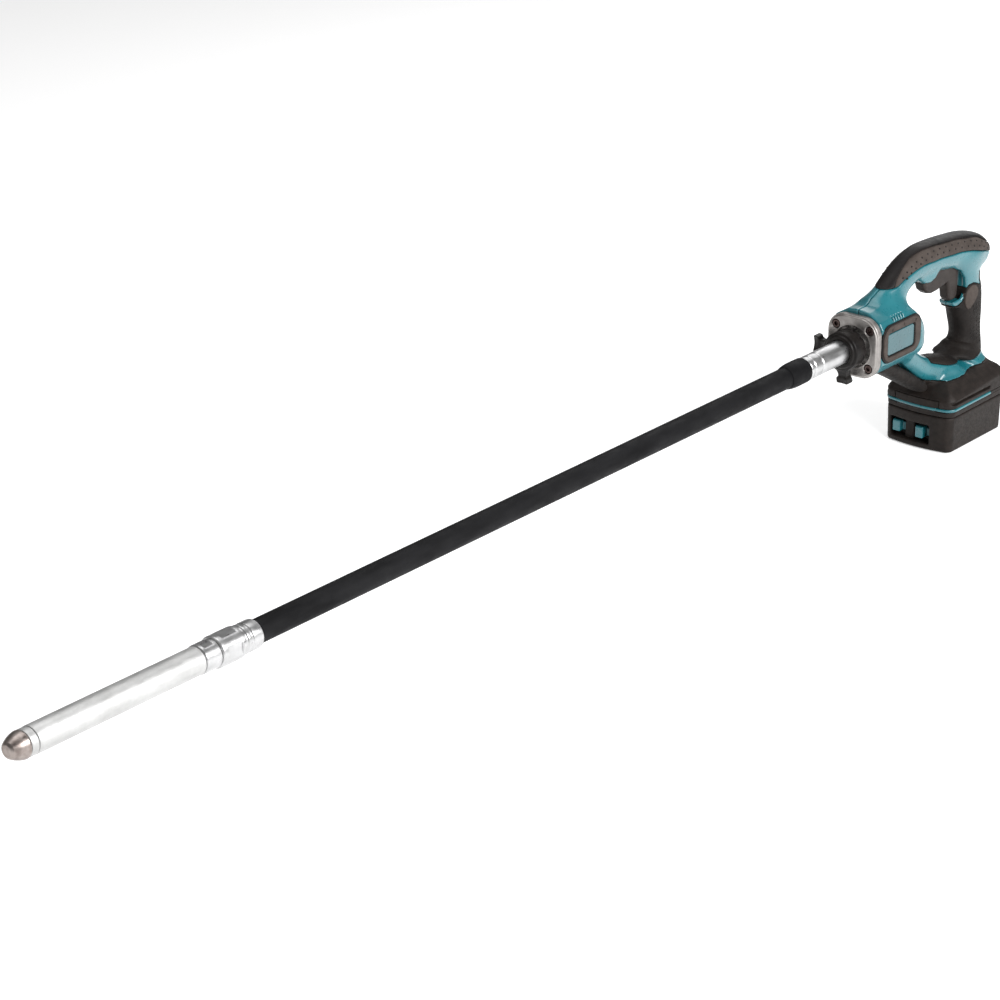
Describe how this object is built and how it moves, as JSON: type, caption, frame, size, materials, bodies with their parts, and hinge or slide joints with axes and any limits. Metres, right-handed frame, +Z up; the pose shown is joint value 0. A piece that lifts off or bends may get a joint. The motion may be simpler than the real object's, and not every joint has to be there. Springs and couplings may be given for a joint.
{
  "type": "concrete vibrator",
  "caption": "Cordless concrete poker vibrator: D-handle motor unit with a slide-on battery, a long flexible shaft and a round steel vibrating head.",
  "frame": {"origin": "centre of the battery's flat underside", "axes": "+X forward along the drive axis towards the vibrating head, +Y to the operator's left, +Z up"},
  "size_m": [1.4482, 0.086, 0.2308],
  "materials": {
    "teal_housing": "moulded teal nylon, semi-gloss",
    "elastomer": "soft overmould, matte",
    "black_plastic": "fine-textured dark grey-brown nylon",
    "hose_rubber": "wrapped rubber hose, matte with faint bands",
    "satin_steel": "satin, fine lengthwise wear",
    "dark_steel": "hardened and darkened",
    "polished_steel": "machined and polished",
    "cast_aluminium": "die-cast, satin",
    "copper_winding": "varnished copper winding",
    "cell_wrap": "shrink wrap"
  },
  "bodies": {
    "body": {"front_flange": "cast_aluminium", "flange_screw_1": "dark_steel", "flange_screw_2": "dark_steel", "flange_screw_3": "dark_steel", "flange_screw_4": "dark_steel", "hose_sleeve": "polished_steel", "hose_cuff": "hose_rubber", "flexible_hose": "hose_rubber", "hose_ferrule": "polished_steel", "head_adapter": "polished_steel", "head_tube": "satin_steel", "nose_band": "satin_steel", "nose_cap": "dark_steel", "head_bearing_rear": "satin_steel", "head_bearing_front": "satin_steel", "shaft_seal": "elastomer", "motor_yoke": "satin_steel", "motor_bearing_front": "satin_steel", "motor_bearing_rear": "satin_steel", "brush_holder_left": "black_plastic", "brush_holder_right": "black_plastic", "housing_left": "teal_housing", "housing_right": "teal_housing", "top_grip_cover": "elastomer", "rear_grip_cover": "elastomer", "strut_bumper": "elastomer", "foot_skirt": "elastomer", "rail_holder": "teal_housing", "terminal_block": "black_plastic", "badge_frame_left": "black_plastic", "badge_frame_right": "black_plastic", "badge_plate_left": "teal_housing", "badge_plate_right": "teal_housing", "housing_screw_1": "dark_steel", "housing_screw_2": "dark_steel", "housing_screw_3": "dark_steel", "housing_screw_4": "dark_steel", "housing_screw_5": "dark_steel", "trigger_pin": "satin_steel", "switch_body": "black_plastic"},
    "rotor": {"armature": "copper_winding", "motor_fan": "black_plastic", "drive_coupling": "satin_steel"},
    "flex_shaft": {"flexible_shaft": "satin_steel"},
    "eccentric": {"eccentric_rotor": "satin_steel"},
    "trigger_lever": {"trigger": "black_plastic", "trigger_spring": "satin_steel"},
    "plunger": {"switch_plunger": "black_plastic"},
    "lock_off": {"lock_button": "black_plastic"},
    "collar": {"lock_collar": "black_plastic"},
    "battery": {"battery_case_lower": "black_plastic", "battery_case_upper": "black_plastic", "cell_row_lower": "cell_wrap", "cell_row_upper": "cell_wrap"},
    "battery_release": {"battery_button": "teal_housing"}
  },
  "joints": [
    {"name": "rotor_spin", "type": "hinge", "parent": "body", "child": "rotor", "pos_m": [0.19, 0, 0.152], "axis": [1, 0, 0], "continuous": true},
    {"name": "flex_shaft_spin", "type": "hinge", "parent": "body", "child": "flex_shaft", "pos_m": [0.19, 0, 0.152], "axis": [1, 0, 0], "continuous": true},
    {"name": "eccentric_spin", "type": "hinge", "parent": "body", "child": "eccentric", "pos_m": [0.19, 0, 0.152], "axis": [1, 0, 0], "continuous": true},
    {"name": "trigger_pull", "type": "hinge", "parent": "body", "child": "trigger_lever", "pos_m": [0.06, 0, 0.194], "axis": [0, 1, 0], "range_deg": [0, 7], "stiffness_Nm_per_rad": 2.5, "springref_deg": -5.73},
    {"name": "plunger_slide", "type": "slide", "parent": "body", "child": "plunger", "axis": [0, 0, 1], "range_m": [0, 0.0056]},
    {"name": "lock_button_press", "type": "slide", "parent": "body", "child": "lock_off", "axis": [1, 0, 0], "range_m": [0, 0.003], "stiffness_N_per_m": 600, "springref_m": -0.002},
    {"name": "collar_turn", "type": "hinge", "parent": "body", "child": "collar", "pos_m": [0.19, 0, 0.152], "axis": [1, 0, 0], "range_deg": [0, 60]},
    {"name": "battery_slide", "type": "slide", "parent": "body", "child": "battery", "axis": [1, 0, 0], "range_m": [0, 0.1]},
    {"name": "battery_button_press", "type": "slide", "parent": "battery", "child": "battery_release", "axis": [0, 0, -1], "range_m": [0, 0.004], "stiffness_N_per_m": 800, "springref_m": -0.002}
  ],
  "couplings": [
    {"joint": "flex_shaft_spin", "follows": "rotor_spin", "ratio": 1},
    {"joint": "eccentric_spin", "follows": "rotor_spin", "ratio": 1},
    {"joint": "plunger_slide", "follows": "trigger_pull", "m_per_rad": 0.045}
  ]
}
